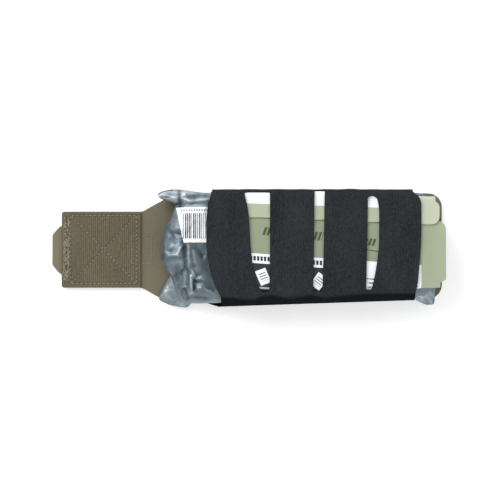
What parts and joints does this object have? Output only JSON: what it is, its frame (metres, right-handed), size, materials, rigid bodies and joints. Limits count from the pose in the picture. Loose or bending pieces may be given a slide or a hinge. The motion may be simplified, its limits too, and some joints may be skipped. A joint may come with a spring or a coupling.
{
  "type": "trauma kit insert",
  "caption": "Loaded slide-in trauma kit insert: flat carrier with a hook-tape pull tab and a windowed elastic sleeve round a vacuum-packed dressing pouch and a folded foil packet.",
  "frame": {"origin": "under the middle of the insert, on the surface that it lies on", "axes": "+X from the pull tab towards the open end of the sleeve, +Y across the insert, +Z out of its front face"},
  "size_m": [0.264, 0.0784, 0.0344],
  "materials": {
    "laminate": "olive laminated nylon, matt with a fine weave",
    "hook_tape": "olive hook tape, ribbed and matt",
    "olive_thread": "bonded nylon thread, pale olive",
    "black_thread": "bonded nylon thread, black",
    "elastic": "knitted elastic, near black, matt",
    "grey_film": "metallised vacuum film, blue grey, crinkled and glossy",
    "label": "white printed label, satin",
    "gauze": "off-white cotton and elastic wrap",
    "closure_plastic": "moulded plastic, grey",
    "sage_foil": "printed foil laminate, sage green, satin",
    "seal_gel": "clear film with hydrogel, glossy"
  },
  "bodies": {
    "carrier": {"carrier_panel": "laminate", "elastic_sleeve": "elastic", "upper_hem_thread": "black_thread", "lower_hem_thread": "black_thread"},
    "pull_tab": {"tab_panel": "laminate", "grip_tongue": "laminate", "hook_patch": "hook_tape", "box_x_thread": "olive_thread", "tongue_thread": "olive_thread", "webbing_anchor": "laminate", "anchor_thread": "olive_thread"},
    "dressing": {"pouch_front_film": "grey_film", "pouch_back_film": "grey_film", "pouch_label": "label", "bandage_roll": "gauze", "absorbent_pad": "gauze", "closure_bar": "closure_plastic"},
    "seal_pack": {"packet_outer_film": "sage_foil", "packet_inner_film": "sage_foil", "chest_seal_1": "seal_gel", "chest_seal_2": "seal_gel"}
  },
  "joints": [
    {"name": "tab_fold", "type": "hinge", "parent": "carrier", "child": "pull_tab", "pos_m": [-0.0638, 0, 0.002], "axis": [0, 1, 0], "range_deg": [-150, 90]},
    {"name": "dressing_slide", "type": "slide", "parent": "carrier", "child": "dressing", "axis": [1, 0, 0], "range_m": [0, 0.175]},
    {"name": "packet_slide", "type": "slide", "parent": "carrier", "child": "seal_pack", "axis": [1, 0, 0], "range_m": [0, 0.14]}
  ]
}
